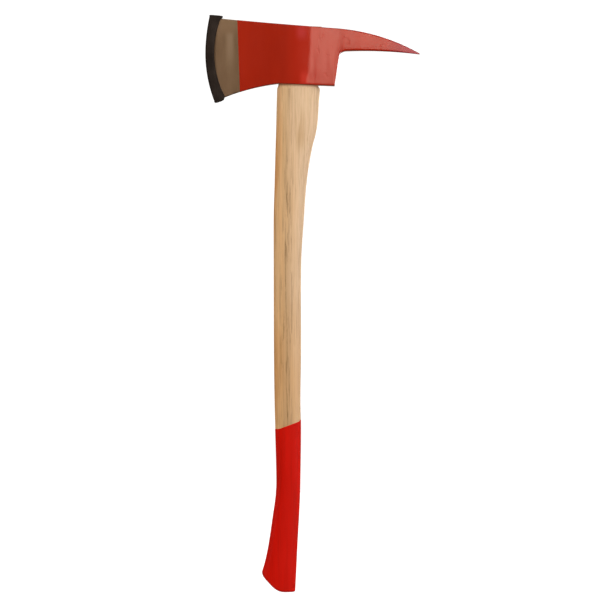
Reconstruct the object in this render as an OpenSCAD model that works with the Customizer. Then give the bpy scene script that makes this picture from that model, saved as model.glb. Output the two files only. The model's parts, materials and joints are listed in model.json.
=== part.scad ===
// Pick-head fire axe: forged head with a broad blade and a curved pick, driven onto a
// wooden handle and locked with one wooden and two steel wedges. The painted parts carry
// their coats as thin shells, and a rubber guard pulls off the cutting edge.
//
// Frame: the origin is the middle of the eye where it opens in the head's underside.
// +Z runs up through the head, -X points past the cutting edge, +X along the pick.
// The head is drawn level in its own frame, then hangs at a small angle on the handle.

/* [Head] */
// Height of the head's top above its underside, over the eye
head_height = 93.4; // [84:0.2:100]
// Distance from the middle of the eye to the middle of the cutting edge
blade_reach = 145; // [125:1:160]
// Distance from the middle of the eye to the tip of the pick
pick_reach = 190; // [165:1:205]
// Distance from the middle of the eye to the back of the poll
poll_reach = 57.4; // [50:0.2:64]
// Greatest thickness of the head, at the eye
head_thickness = 32.8; // [30:0.2:40]
// Radius of the cutting edge
edge_radius = 205; // [190:1:240]
// Tilt of the head on the handle, nose up at the blade, in degrees
hang_angle = 2.3; // [0:0.1:4]

/* [Eye and wedges] */
// Length of the eye at the head's underside
eye_length = 64; // [56:0.5:66]
// Width of the eye at the head's underside
eye_width = 22; // [18:0.5:24]
// How much wider the eye is at its top than at its underside
eye_flare = 2.4; // [0:0.2:4]
// Thickness of the wooden wedge at its top
kerf_width = 5.4; // [3:0.2:7]
// Depth of the wooden wedge
kerf_depth = 62; // [40:1:70]
// Width of each steel wedge
steel_wedge_width = 20; // [14:0.5:22]
// Thickness of each steel wedge at its top
steel_wedge_thickness = 3.4; // [2:0.2:5]

/* [Handle] */
// Length of the handle below the head
handle_drop = 805; // [780:1:840]
// Thickness of the shaft across the axe
shaft_thickness = 24; // [22:0.5:27]
// Height of the red dip on the grip, at the middle of the shaft
dip_height = 263.5; // [200:0.5:320]
// Slope of the dip line, in degrees
dip_slope = 20; // [0:1:30]

/* [Coats] */
// Thickness of the red enamel on the head
enamel_thickness = 0.2; // [0.1:0.05:0.5]
// Thickness of the red dip on the grip
dip_thickness = 0.3; // [0.1:0.05:0.8]
// Where the enamel stops, from the middle of the eye towards the blade
enamel_reach = 97; // [85:1:110]

/* [Edge guard] */
// Thickness of the guard across the blade
guard_thickness = 11.6; // [10.5:0.1:15]
// Rubber in front of the cutting edge
guard_nose = 5; // [3:0.1:8]
// Blade that the guard covers, at the middle of the edge
guard_cover = 9; // [8:0.5:14]
// Gap between the guard and the blade
guard_gap = 0.35; // [0.2:0.05:0.5]

/* [Hidden] */

enamel_red = [0.66, 0.10, 0.06];
dip_red = [0.75, 0.08, 0.05];
bare_steel = [0.50, 0.40, 0.31];
pale_wood = [0.82, 0.68, 0.49];
wedge_wood = [0.70, 0.52, 0.33];
black_rubber = [0.13, 0.12, 0.12];

far = 400;            // reaches past the axe in every direction
ring_sides = 32;      // facets round the handle and the eye
handle_rings = 52;    // rings of facets along the handle
grid_rows = 9;        // rows of facets up the head
rim_chamfer = 1.6;    // the head's edges are broken by this much
oval_power = 2.5;     // 2 is an ellipse, higher is squarer

// ---- curves -------------------------------------------------------------------

function unit(v) = v / norm(v);
function mix(a, b, t) = a + (b - a) * t;

// Rise of the parabola that is 0 at t = 0 and 1, and 1 between them.
function bow(t) = 4 * t * (1 - t);

// The smooth curve through the rows [x, y1, y2, ...] of a table, for column c.
function row_at(table, x) =
    max(concat([0], [for (i = [0 : len(table) - 2]) if (x >= table[i][0]) i]));
function slope_at(table, i, c) =
    let (a = max(i - 1, 0), b = min(i + 1, len(table) - 1))
    (table[b][c] - table[a][c]) / (table[b][0] - table[a][0]);
function curve(table, x, c = 1) =
    let (i = row_at(table, x),
         span = table[i + 1][0] - table[i][0],
         t = (x - table[i][0]) / span)
    (2 * t ^ 3 - 3 * t ^ 2 + 1) * table[i][c]
    + (t ^ 3 - 2 * t ^ 2 + t) * span * slope_at(table, i, c)
    + (3 * t ^ 2 - 2 * t ^ 3) * table[i + 1][c]
    + (t ^ 3 - t ^ 2) * span * slope_at(table, i + 1, c);

// Point i of a closed outline, moved outwards so that both its sides move by d.
function grown(outline, i, d) =
    let (n = len(outline),
         before = unit(outline[i] - outline[(i + n - 1) % n]),
         after = unit(outline[(i + 1) % n] - outline[i]),
         n1 = [before.y, -before.x],
         n2 = [after.y, -after.x])
    outline[i] + d * (n1 + n2) / (1 + n1 * n2);

// ---- solids from rings --------------------------------------------------------

// A squared oval round [cx, 0], drawn thinner at its back by the share egg.
function oval(cx, half_length, half_width, egg = 0) =
    [for (k = [0 : ring_sides - 1])
        let (c = cos(360 * k / ring_sides), s = sin(360 * k / ring_sides))
        [cx + half_length * sign(c) * pow(abs(c), 2 / oval_power),
         half_width * (1 - egg * c) * sign(s) * pow(abs(s), 2 / oval_power)]];

// The solid through rings of 3D points, lowest first, each anticlockwise from above.
module loft(rings) {
    sides = len(rings[0]);
    top = (len(rings) - 1) * sides;
    polyhedron(
        points = [for (ring = rings) for (p = ring) p],
        faces = concat(
            [[for (k = [0 : sides - 1]) k]],
            [[for (k = [sides - 1 : -1 : 0]) top + k]],
            [for (i = [0 : len(rings) - 2]) for (k = [0 : sides - 1])
                let (a = i * sides + k, b = i * sides + (k + 1) % sides)
                each [[a, a + sides, b + sides], [a, b + sides, b]]]));
}

// The solid between two mirrored skins. Each column is a list of [x, half width, z],
// from bottom to top, and the columns run from -X to +X.
module skin_solid(columns) {
    rows = len(columns[0]);
    last = len(columns) - 1;
    side = len(columns) * rows;
    polyhedron(
        points = concat(
            [for (col = columns) for (p = col) [p.x, -p.y, p.z]],
            [for (col = columns) for (p = col) [p.x, p.y, p.z]]),
        faces = concat(
            [for (j = [0 : last - 1]) for (i = [0 : rows - 2])
                let (a = j * rows + i, b = a + 1, c = b + rows, d = a + rows)
                each [[a, b, c], [a, c, d],
                      [a + side, c + side, b + side], [a + side, d + side, c + side]]],
            [for (j = [0 : last - 1]) for (i = [0, rows - 1])
                let (a = j * rows + i, d = a + rows)
                each (i == 0 ? [[a, d, d + side], [a, d + side, a + side]]
                             : [[a, d + side, d], [a, a + side, d + side]])],
            [for (j = [0, last]) for (i = [0 : rows - 2])
                let (a = j * rows + i, b = a + 1)
                each (j == 0 ? [[a, b + side, b], [a, a + side, b + side]]
                             : [[a, b, b + side], [a, b + side, a + side]])]));
}

// Places the head's level frame on the handle. The enamel's underside lies in z = 0.
module on_handle() {
    rotate([0, hang_angle, 0]) translate([0, 0, enamel_thickness]) children();
}

function on_handle_point(p) =
    let (z = p.z + enamel_thickness)
    [p.x * cos(hang_angle) + z * sin(hang_angle), p.y,
     z * cos(hang_angle) - p.x * sin(hang_angle)];

// ---- head outline, in the head's level frame ------------------------------------

ridge_x = 49;                          // the top turns from a long line into the pick's arc
ridge_z = head_height - 2.6;
pick_radius = 310;                     // of the pick's back
cusp_x = -32;                          // the blade's underside meets the flat underside
beard_radius = 322;                    // of the blade's underside
beard_x = 18;
poll_lean = 0.109;                     // the poll's back leans out by this share of its height
pick_base_z = 56.2;                      // height of the pick's underside
pick_bow = 2.3;                        // its upward bow
notch_blend = 12;                      // reach of the blend between poll and pick
tip_height = 1.4;
edge_middle = [edge_radius - blade_reach, 52];   // centre of the cutting edge's arc

function top_z(x) =
    x < ridge_x ? ridge_z + 0.036 * (ridge_x - x) + 0.00008 * (ridge_x - x) ^ 2
                : ridge_z - pick_radius + sqrt(pick_radius ^ 2 - (x - ridge_x) ^ 2);
function beard_z(x) =
    sqrt(beard_radius ^ 2 - (x - beard_x) ^ 2) - sqrt(beard_radius ^ 2 - (cusp_x - beard_x) ^ 2);
function edge_x(z) = edge_middle.x - sqrt(edge_radius ^ 2 - (z - edge_middle.y) ^ 2);

heel = [edge_x(-31), -31];
toe = [edge_x(101.8), 101.8];
pick_tip_z = top_z(pick_reach) - tip_height;

// Underside of the pick from the notch to the tip.
pick_start_x = poll_reach + poll_lean * pick_base_z + notch_blend;
function pick_z(x) =
    let (t = (x - pick_start_x) / (pick_reach - pick_start_x))
    mix(pick_base_z, pick_tip_z, t) + pick_bow * bow(t);

// Back of the poll, and the rounded notch between it and the pick.
function poll_back(z) = [poll_reach + poll_lean * z, z];
function notch(t) =
    (1 - t) ^ 2 * poll_back(pick_base_z - notch_blend)
    + 2 * t * (1 - t) * poll_back(pick_base_z)
    + t ^ 2 * [pick_start_x, pick_base_z];

// The head is a row of columns, each from a bottom point to a point on the top line.
blade_shares = [0, 0.08, 0.16, 0.26, 0.38, 0.5, 0.62, 0.74, 0.87];
seat_stations = [cusp_x, -21, -10, 1, 12, 23, 34, 43];
poll_shares = [0, 0.25, 0.5, 0.75];
notch_shares = [0, 0.25, 0.5, 0.75, 1];
pick_shares = [0.09, 0.2, 0.31, 0.42, 0.53, 0.64, 0.75, 0.85, 0.93, 0.98, 1];
poll_top_x = 51;                       // top end of the column at the poll's lower corner

function blade_bottom(w) = let (x = mix(heel.x, cusp_x, w)) [x, w == 0 ? heel.y : beard_z(x)];
bottoms = concat(
    [for (w = blade_shares) blade_bottom(w)],
    [for (x = seat_stations) [x, 0]],
    [for (w = poll_shares) poll_back(w * (pick_base_z - notch_blend))],
    [for (t = notch_shares) notch(t)],
    [for (w = pick_shares) let (x = mix(pick_start_x, pick_reach, w)) [x, pick_z(x)]]);
fan = len(poll_shares) + len(notch_shares) - 1;
top_xs = concat(
    [for (w = blade_shares) mix(toe.x, cusp_x, w)],
    seat_stations,
    [for (k = [0 : fan]) mix(poll_top_x, pick_start_x + 1, k / fan)],
    [for (w = pick_shares) mix(pick_start_x + 1, pick_reach, w)]);
tops = [for (x = top_xs) [x, top_z(x)]];

// Share of the cutting edge's arc that a column keeps.
bulges = [for (j = [0 : len(tops) - 1])
    j < len(blade_shares) ? (1 - blade_shares[j]) ^ 2 : 0];

// Half the head's thickness at a column, by its place between the edge and the tip.
half_table = [[-125, 2.5], [-97, 4.8], [-62, 8.6], [-32, 12.4], [-8, 15.2],
              [12, head_thickness / 2], [36, head_thickness / 2 - 0.7], [58, 13.8],
              [76, 11.4], [110, 8.2], [150, 4.9], [178, 2.3], [pick_reach, 0.8]];
edge_half = 0.4;
function column_place(j) =
    j < len(blade_shares) ? (bottoms[j].x + tops[j].x) / 2 : tops[j].x;
function column_half(j) = j == 0 ? edge_half : curve(half_table, column_place(j));

// The cutting edge's bulge past its chord, at share t of its height.
function edge_bulge(t) =
    edge_x(mix(heel.y, toe.y, t)) - mix(heel.x, toe.x, t);

crown = 0.05;                          // the cheeks lose this share of thickness at their edges

// The whole head without its eye, with every surface moved out by d.
module head_blank(d = 0) {
    count = len(bottoms);
    outline = concat(bottoms, [for (j = [count - 1 : -1 : 0]) tops[j]]);
    skin_solid([for (j = [0 : count - 1])
        let (low = grown(outline, j, d),
             high = grown(outline, 2 * count - 1 - j, d),
             half = column_half(j),
             chamfer = min(rim_chamfer, 0.4 * half),
             inset = min(chamfer / norm(high - low), 0.3),
             inner = [for (i = [0 : grid_rows - 2]) mix(inset, 1 - inset, i / (grid_rows - 2))],
             shares = concat([0], inner, [1]))
        [for (t = shares)
            let (p = mix(low, high, t) + [bulges[j] * edge_bulge(t), 0],
                 cut = t == 0 || t == 1 ? chamfer : 0)
            [p.x, half * (1 - crown * (2 * t - 1) ^ 2) - cut + d, p.y]]]);
}

// ---- eye and wedges, in the head's level frame ------------------------------------

flare_start = 45;
eye_top = head_height + 8;
neck_z = -3;                           // the handle keeps the eye's section down to here
neck_relief = 0.05;                    // the neck is this much smaller than the eye, all round

// The eye's section at the height z, made wider by d all round.
function eye_ring(z, d = 0) =
    let (flare = eye_flare / 2 * max(0, z - flare_start) / (head_height - flare_start))
    [for (p = oval(0, eye_length / 2 + flare + d, eye_width / 2 + flare + d)) [p.x, p.y, z]];

module eye_void() {
    loft([for (z = [neck_z, flare_start, eye_top]) eye_ring(z)]);
}

// Everything above the handle's end, which is dressed flush with the head's top.
module above_head() {
    fall = atan((top_z(eye_length / 2) - top_z(-eye_length / 2)) / eye_length);
    translate([0, 0, top_z(0)]) rotate([0, -fall, 0])
        translate([-far / 2, -far / 2, 0]) cube([far, far, far]);
}

// A wedge standing point down along X, its top at the height z.
module wedge_blank(length, thickness, point, depth, z) {
    translate([-length / 2, 0, z - depth]) rotate([90, 0, 90])
        linear_extrude(length)
            polygon([[-point / 2, 0], [point / 2, 0], [thickness / 2, depth], [-thickness / 2, depth]]);
}

wedge_top = head_height + 4;           // the blanks stand proud, and are dressed flush
wedge_proud = wedge_top - head_height;

module kerf_blank() {
    wedge_blank(eye_length + 10, kerf_width, 1.2, kerf_depth + wedge_proud, wedge_top);
}

steel_wedge_x = 15;                    // from the middle of the eye, fore and aft
steel_wedge_depth = 26;
steel_wedge_turn = 45;

module steel_blank(side) {
    translate([side * steel_wedge_x, 0, 0]) rotate([0, 0, side * steel_wedge_turn])
        wedge_blank(steel_wedge_width, steel_wedge_thickness, 0.8,
                    steel_wedge_depth + wedge_proud, wedge_top);
}

module steel_wedge(side) {
    color("silver") on_handle() difference() {
        steel_blank(side);
        above_head();
    }
}

module steel_wedge_front() {
    steel_wedge(-1);
}

module steel_wedge_rear() {
    steel_wedge(1);
}

module kerf_wedge() {
    color(wedge_wood) on_handle() difference() {
        intersection() {
            kerf_blank();
            eye_void();
        }
        above_head();
        steel_blank(-1);
        steel_blank(1);
    }
}

// ---- head ---------------------------------------------------------------------

module axe_head() {
    color(bare_steel) on_handle() difference() {
        head_blank();
        eye_void();
    }
}

enamel_lean = 4.4;                     // tilt of the enamel's end line

// Everything on the blade's side of the enamel's end line.
module bare_side() {
    translate([-enamel_reach, 0, head_height / 2]) rotate([0, -enamel_lean, 0])
        translate([-far, -far / 2, -far / 2]) cube([far, far, far]);
}

module head_enamel() {
    color(enamel_red) on_handle() difference() {
        head_blank(enamel_thickness);
        head_blank();
        bare_side();
        eye_void();
    }
}

// ---- handle -------------------------------------------------------------------

// Rows: distance below the head, front edge, back edge, thickness, egg.
shoulder = 8;
handle_table = [
    [shoulder, -33.5, 33.8, shaft_thickness + 0.4, 0.02],
    [34, -34.8, 32.4, shaft_thickness + 1.4, 0.05],
    [62, -35.4, 30.5, shaft_thickness + 1.8, 0.08],
    [80, -35.8, 27.2, shaft_thickness + 1.8, 0.09],
    [95, -36.2, 22.9, shaft_thickness + 1.6, 0.09],
    [120, -36.8, 17.6, shaft_thickness + 1.2, 0.08],
    [160, -37.8, 11.8, shaft_thickness + 0.8, 0.06],
    [210, -39, 8, shaft_thickness + 0.4, 0.05],
    [280, -39, 3.6, shaft_thickness, 0.05],
    [430, -38.7, 3, shaft_thickness, 0.05],
    [500, -38, 2.7, shaft_thickness, 0.05],
    [545, -37.2, 4.1, shaft_thickness, 0.05],
    [630, -35, 2.8, shaft_thickness, 0.05],
    [655, -36.5, 2.2, shaft_thickness + 0.2, 0.05],
    [680, -40, 1.1, shaft_thickness + 0.8, 0.05],
    [730, -47.4, -1.7, shaft_thickness + 2, 0.04],
    [757, -53, -3, shaft_thickness + 3, 0.03],
    [776, -58.6, -3.9, shaft_thickness + 3.6, 0.03],
    [handle_drop + 10, -69, -5.9, shaft_thickness + 4, 0.03]];

function handle_ring(drop, d = 0) =
    let (front = curve(handle_table, drop, 1) - d,
         back = curve(handle_table, drop, 2) + d)
    [for (p = oval((front + back) / 2, (back - front) / 2,
                   curve(handle_table, drop, 3) / 2 + d, curve(handle_table, drop, 4)))
        [p.x, p.y, -drop]];

// Distances below the head of the handle's rings, lowest first.
ring_step = (handle_drop + 10 - shoulder) / (handle_rings - 1);
handle_drops = [for (k = [handle_rings - 1 : -1 : 0]) shoulder + k * ring_step];

// The part of the axe above the butt's flat end and its slanted toe, moved in by d.
toe_start = [-33, -handle_drop];       // where the flat end turns into the slanted toe
toe_steep = 1.03;
module above_butt(d = 0) {
    reach = 120;
    turn_x = toe_start.x + d * (sqrt(1 + toe_steep ^ 2) - 1) / toe_steep;
    rotate([90, 0, 0]) linear_extrude(reach, center = true)
        polygon([[-reach, far], [reach, far], [reach, toe_start.y + d], [turn_x, toe_start.y + d],
                 [-reach, toe_start.y + d + (reach + turn_x) * toe_steep]]);
}

module handle() {
    shaft = [for (drop = handle_drops) handle_ring(drop)];
    sections = concat([eye_ring(neck_z, -neck_relief), eye_ring(0)],
                      [for (z = [flare_start, eye_top]) eye_ring(z)]);
    tongue = [for (section = sections) [for (p = section) on_handle_point(p)]];
    color(pale_wood) difference() {
        intersection() {
            loft(concat(shaft, tongue));
            above_butt(dip_thickness);
        }
        on_handle() {
            above_head();
            kerf_blank();
            steel_blank(-1);
            steel_blank(1);
        }
    }
}

shaft_middle = -17;

// Everything above the line to which the grip was dipped.
module above_dip() {
    translate([shaft_middle, 0, dip_height - handle_drop]) rotate([0, -dip_slope, 0])
        translate([-far / 2, -far / 2, 0]) cube([far, far, far]);
}

module grip_coating() {
    dipped = [for (drop = handle_drops) if (drop > handle_drop - dip_height - 2 * ring_step) drop];
    color(dip_red) difference() {
        intersection() {
            loft([for (drop = dipped) handle_ring(drop, dip_thickness)]);
            above_butt();
        }
        intersection() {
            loft([for (drop = dipped) handle_ring(drop)]);
            above_butt(dip_thickness);
        }
        above_dip();
    }
}

// ---- edge guard -----------------------------------------------------------------

guard_back_radius = 145;               // of the arc along the guard's back
guard_back = [guard_back_radius + guard_cover - blade_reach, 50];
guard_steps = 20;

function arc(centre, radius, z1, z2, steps) =
    [for (k = [0 : steps])
        let (z = mix(z1, z2, k / steps))
        [centre.x - sqrt(radius ^ 2 - (z - centre.y) ^ 2), z]];

// Side view: a crescent along the edge, with square ends that cap the heel and the toe.
function guard_outline() = concat(
    arc(edge_middle, edge_radius + guard_nose, toe.y - 0.3, heel.y - 0.5, guard_steps),
    [for (p = [[-5.2, -2.4], [-2.4, -3.8], [9.4, 1], [10.8, 4]]) heel + p],
    arc(guard_back, guard_back_radius, heel.y + 8, toe.y - 3.2, guard_steps),
    [for (p = [[13.6, 0.2], [12.8, 2.2], [-4.6, 3], [-6, 2]]) toe + p]);

// Room for the blade, open to its back so that the guard can be pulled off forwards.
module blade_room() {
    bevel = 8;
    depth = 34;
    rows = 14;
    widths = [[-guard_gap, edge_half], [bevel, half_table[0][1]], [depth, half_table[0][1] + 1.9]];
    skin_solid([for (w = widths)
        [for (k = [0 : rows])
            let (z = mix(heel.y - guard_gap, toe.y + guard_gap, k / rows))
            [edge_x(z) + w[0], w[1] + guard_gap, z]]]);
}

module edge_guard() {
    color(black_rubber) on_handle() difference() {
        rotate([90, 0, 0]) linear_extrude(guard_thickness, center = true)
            polygon(guard_outline());
        blade_room();
    }
}

axe_head();
head_enamel();
handle();
grip_coating();
kerf_wedge();
steel_wedge_front();
steel_wedge_rear();
edge_guard();
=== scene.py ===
"""Looks of a pick-head fire axe: a forged head in red enamel with a bare blade, a clear-coated
wooden handle with a red dipped grip, three wedges in the eye, and a rubber guard on the edge.

Outlines are worked out in millimetres, and meshes are made in metres. The head's parts are
drawn in the head's level frame, where its steel underside lies in z = 0, and are then hung on
the handle at the angle that the frame gives.
"""
import json
import math

import bmesh
import bpy
import numpy as np
from mathutils import Matrix, Vector, noise


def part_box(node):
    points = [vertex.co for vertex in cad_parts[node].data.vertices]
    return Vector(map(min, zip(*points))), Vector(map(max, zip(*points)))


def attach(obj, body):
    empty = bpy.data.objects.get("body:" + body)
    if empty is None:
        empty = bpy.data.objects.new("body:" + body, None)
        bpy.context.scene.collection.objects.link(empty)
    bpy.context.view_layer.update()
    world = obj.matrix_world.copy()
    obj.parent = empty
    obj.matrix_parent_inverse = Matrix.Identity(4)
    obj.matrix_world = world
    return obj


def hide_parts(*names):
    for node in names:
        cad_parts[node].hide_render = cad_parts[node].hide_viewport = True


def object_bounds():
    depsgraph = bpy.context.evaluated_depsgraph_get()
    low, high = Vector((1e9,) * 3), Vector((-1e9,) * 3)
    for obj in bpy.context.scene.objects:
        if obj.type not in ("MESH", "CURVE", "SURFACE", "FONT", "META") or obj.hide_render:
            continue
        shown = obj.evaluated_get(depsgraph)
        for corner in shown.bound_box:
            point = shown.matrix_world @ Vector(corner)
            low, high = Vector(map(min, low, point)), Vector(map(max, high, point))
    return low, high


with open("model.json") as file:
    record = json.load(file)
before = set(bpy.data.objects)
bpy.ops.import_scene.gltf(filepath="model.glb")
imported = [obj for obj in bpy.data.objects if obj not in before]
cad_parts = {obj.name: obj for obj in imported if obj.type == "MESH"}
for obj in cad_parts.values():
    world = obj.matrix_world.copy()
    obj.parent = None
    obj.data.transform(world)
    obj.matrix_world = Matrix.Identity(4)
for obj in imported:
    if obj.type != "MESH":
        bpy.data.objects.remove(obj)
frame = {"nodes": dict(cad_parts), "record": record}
cad_low, cad_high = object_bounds()

MM = 0.001
SIDES = 96               # points in a ring round the handle or the eye


# ---- measures taken from the frame ---------------------------------------------------

def mount(name):
    return next(m for m in frame["record"]["mounts"] if m["name"] == name)


SEAT_AXIS = mount("head_seat")["axis"]
HANG = math.atan2(-SEAT_AXIS[0], -SEAT_AXIS[2])     # the head's tilt on the handle
HANG_TURN = np.array(Matrix.Rotation(HANG, 3, "Y"))


def level_box(node):
    """Lowest and highest corner of a CAD node in the head's level frame, in mm."""
    row = np.array([v.co for v in frame["nodes"][node].data.vertices]) / MM
    level = row @ HANG_TURN
    return level.min(0), level.max(0)


def lowest(node):
    """Height of a CAD node's lowest point in the row frame, in mm."""
    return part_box(node)[0][2] / MM


STEEL_LOW, STEEL_HIGH = level_box("axe_head")
GUARD_HIGH = level_box("edge_guard")[1]
ENAMEL = level_box("head_enamel")[1][1] - STEEL_HIGH[1]
EDGE_X = STEEL_LOW[0]
TIP_X = STEEL_HIGH[0]
HEEL_Z = STEEL_LOW[2] - ENAMEL
BUTT_Z = lowest("grip_coating")
DIP = lowest("handle") - BUTT_Z
GUARD_HALF = GUARD_HIGH[1]
GUARD_TOP = 3            # the guard's upper end rises this far above the toe
TOE_Z = GUARD_HIGH[2] - ENAMEL - GUARD_TOP


# ---- curves ---------------------------------------------------------------------------

def mix(a, b, t):
    return a + (b - a) * t


def curve(table, x, column=1):
    """The smooth curve through a column of a table, at x, which may be an array."""
    rows = np.array(table, float)
    xs, ys = rows[:, 0], rows[:, column]
    ends = np.arange(len(xs))
    before, after = np.maximum(ends - 1, 0), np.minimum(ends + 1, len(xs) - 1)
    slopes = (ys[after] - ys[before]) / (xs[after] - xs[before])
    x = np.asarray(x, float)
    i = np.clip(np.searchsorted(xs, x, side="right") - 1, 0, len(xs) - 2)
    span = xs[i + 1] - xs[i]
    t = (x - xs[i]) / span
    return ((2 * t**3 - 3 * t**2 + 1) * ys[i] + (t**3 - 2 * t**2 + t) * span * slopes[i]
            + (3 * t**2 - 2 * t**3) * ys[i + 1] + (t**3 - t**2) * span * slopes[i + 1])


def smooth_max(a, b, reach):
    """The larger of two distances, with the corner between them rounded."""
    h = np.maximum(reach - np.abs(a - b), 0) / reach
    return np.maximum(a, b) + h * h * reach / 4


def ripple(points, wavelength, seed):
    """Smooth noise from -1 to 1 at points in mm."""
    shift = Vector((seed * 17.3, seed * 5.1, seed * 9.7))
    return np.array([noise.noise(Vector(p) / wavelength + shift) for p in points])


# ---- meshes -----------------------------------------------------------------------------

def new_object(name, mesh):
    piece = bpy.data.objects.new(name, mesh)
    bpy.context.scene.collection.objects.link(piece)
    return piece


def smooth(piece, angle):
    """Smooth shading, with a sharp edge where faces meet at more than the angle, in degrees."""
    piece.data.shade_smooth()
    piece.data.set_sharp_from_angle(angle=math.radians(angle))


def loop_mesh(name, loops, rim=None, lids=True):
    """A closed mesh through loops of points in metres, with a lid on the first and last loop,
    or none where those loops are drawn shut."""
    count, sides = loops.shape[:2]
    faces = []
    for j in range(count - 1):
        for k in range(sides):
            a, b = j * sides + k, j * sides + (k + 1) % sides
            faces.append((a, b, b + sides, a + sides))
    if lids:
        faces.append(tuple(range(sides - 1, -1, -1)))
        faces.append(tuple(range((count - 1) * sides, count * sides)))
    mesh = bpy.data.meshes.new(name)
    mesh.from_pydata(loops.reshape(-1, 3).tolist(), [], faces)
    if rim is not None:
        mesh.attributes.new("rim", "FLOAT", "POINT").data.foreach_set("value", rim.ravel())
    work = bmesh.new()
    work.from_mesh(mesh)
    bmesh.ops.remove_doubles(work, verts=work.verts, dist=1e-7)
    bmesh.ops.recalc_face_normals(work, faces=work.faces)
    work.to_mesh(mesh)
    work.free()
    return new_object(name, mesh)


def apply_modifiers(piece):
    bpy.context.view_layer.update()
    graph = bpy.context.evaluated_depsgraph_get()
    old, mesh = piece.data, bpy.data.meshes.new_from_object(piece.evaluated_get(graph))
    piece.modifiers.clear()
    piece.data = mesh
    bpy.data.meshes.remove(old)
    mesh.name = piece.name


def carve(piece, tools, operation="DIFFERENCE"):
    """Cuts each tool out of the piece, or keeps only what it shares with them. The tools are used up."""
    for tool in tools:
        step = piece.modifiers.new("carve", "BOOLEAN")
        step.operation = operation
        step.solver = "EXACT"
        step.object = tool
    apply_modifiers(piece)
    for tool in tools:
        bpy.data.objects.remove(tool)


def bevel(piece, width):
    """Rounds the piece's sharp edges, with a width in mm."""
    step = piece.modifiers.new("bevel", "BEVEL")
    step.width = width * MM
    step.segments = 3
    step.limit_method = "ANGLE"
    step.angle_limit = math.radians(35)
    apply_modifiers(piece)


def hang(points):
    """Points of the head's level frame, in mm, as points of the row frame, in metres."""
    return (points + np.array([0, 0, ENAMEL])) @ HANG_TURN.T * MM


# ---- head: outline ----------------------------------------------------------------------

RIDGE_X = 49             # the top is almost straight up to here, and then curves down to the tip
RIDGE_Z = 90.8
RIDGE_SLOPE = 0.036
RIDGE_BOW = 0.00008
PICK_RADIUS = 310
CUSP_X = -32             # where the beard meets the flat underside
BEARD_RADIUS = 322
BEARD_X = 18
POLL_X = 57.4
POLL_LEAN = 0.109
PICK_BASE_Z = 56.2
PICK_BOW = 2.3
NOTCH_BLEND = 12         # the notch is rounded over this distance from its corner
TIP_HEIGHT = 1.4
EDGE_RADIUS = 205
EDGE_CENTRE_Z = 52


def top_z(x):
    """Height of the head's top."""
    line = RIDGE_Z + RIDGE_SLOPE * (RIDGE_X - x) + RIDGE_BOW * (RIDGE_X - x)**2
    arc = RIDGE_Z - PICK_RADIUS + np.sqrt(PICK_RADIUS**2 - np.maximum(x - RIDGE_X, 0)**2)
    return np.where(x < RIDGE_X, line, arc)


def beard_z(x):
    """Height of the blade's underside, an arc that ends at the cusp."""
    return np.sqrt(BEARD_RADIUS**2 - (x - BEARD_X)**2) - math.sqrt(BEARD_RADIUS**2 - (CUSP_X - BEARD_X)**2)


def edge_x(z):
    """The cutting edge's arc."""
    return EDGE_X + EDGE_RADIUS - np.sqrt(EDGE_RADIUS**2 - (z - EDGE_CENTRE_Z)**2)


HEEL = np.array([edge_x(HEEL_Z), HEEL_Z])
TOE = np.array([edge_x(TOE_Z), TOE_Z])
PICK_START_X = POLL_X + POLL_LEAN * PICK_BASE_Z + NOTCH_BLEND
PICK_TIP_Z = float(top_z(TIP_X)) - TIP_HEIGHT


def poll_back(z):
    """Points up the back of the poll, which leans."""
    return np.stack([POLL_X + POLL_LEAN * z, z], -1)


def notch(t):
    """Points round the corner between the poll and the pick, at shares of the way."""
    t = t[:, None]
    corner, low = poll_back(np.array(PICK_BASE_Z)), poll_back(np.array(PICK_BASE_Z - NOTCH_BLEND))
    return (1 - t)**2 * low + 2 * t * (1 - t) * corner + t**2 * np.array([PICK_START_X, PICK_BASE_Z])


def pick_under(w):
    """Points along the pick's underside, which is bowed upwards, at shares of the way."""
    x = mix(PICK_START_X, TIP_X, w)
    return np.stack([x, mix(PICK_BASE_Z, PICK_TIP_Z, w) + PICK_BOW * 4 * w * (1 - w)], -1)


def head_columns():
    """Bottom and top ends of the head's columns, and each one's place along the head. The places
    run from 0 at the edge, by 1 at the cusp, 2 and 3 up the poll, and 4 past the notch, to 5 at the tip."""
    # Shares of the way along each stretch. The columns crowd together at the edge and at the tip.
    blade = np.linspace(0, 1, 60)**1.25
    seat = np.linspace(0, 1, 40)[1:]
    poll = np.linspace(0, 1, 18)[1:]
    blend = np.linspace(0, 1, 14)[1:]
    pick = 1 - (1 - np.linspace(0, 1, 70)[1:])**1.15
    blade_x = mix(HEEL[0], CUSP_X, blade)
    seat_x = mix(CUSP_X, POLL_X, seat)
    bottoms = np.concatenate([
        np.stack([blade_x, np.where(blade == 0, HEEL[1], beard_z(blade_x))], -1),
        np.stack([seat_x, np.zeros(len(seat))], -1),
        poll_back(poll * (PICK_BASE_Z - NOTCH_BLEND)), notch(blend), pick_under(pick)])
    place = np.concatenate([blade, 1 + seat, 2 + poll, 3 + blend, 4 + pick])
    # Along the top, the columns crowd together over the poll, so that they fan out round the notch.
    poll_top, pick_top = 51, PICK_START_X + 1
    tops = [(0, TOE[0]), (1, CUSP_X), (1.84, 43), (2, poll_top), (3, mix(poll_top, pick_top, 0.5)),
            (4, pick_top), (5, TIP_X)]
    top_x = np.interp(place, *zip(*tops))
    return bottoms, np.stack([top_x, top_z(top_x)], -1), place


def grown(outline, distance):
    """A closed outline with its sides moved outwards."""
    before = outline - np.roll(outline, 1, 0)
    after = np.roll(outline, -1, 0) - outline
    n1, n2 = ([s[:, 1], -s[:, 0]] / np.linalg.norm(s, axis=1) for s in (before, after))
    n1, n2 = n1.T, n2.T
    return outline + distance * (n1 + n2) / (1 + (n1 * n2).sum(1, keepdims=True))


# ---- head: thickness --------------------------------------------------------------------

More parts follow.
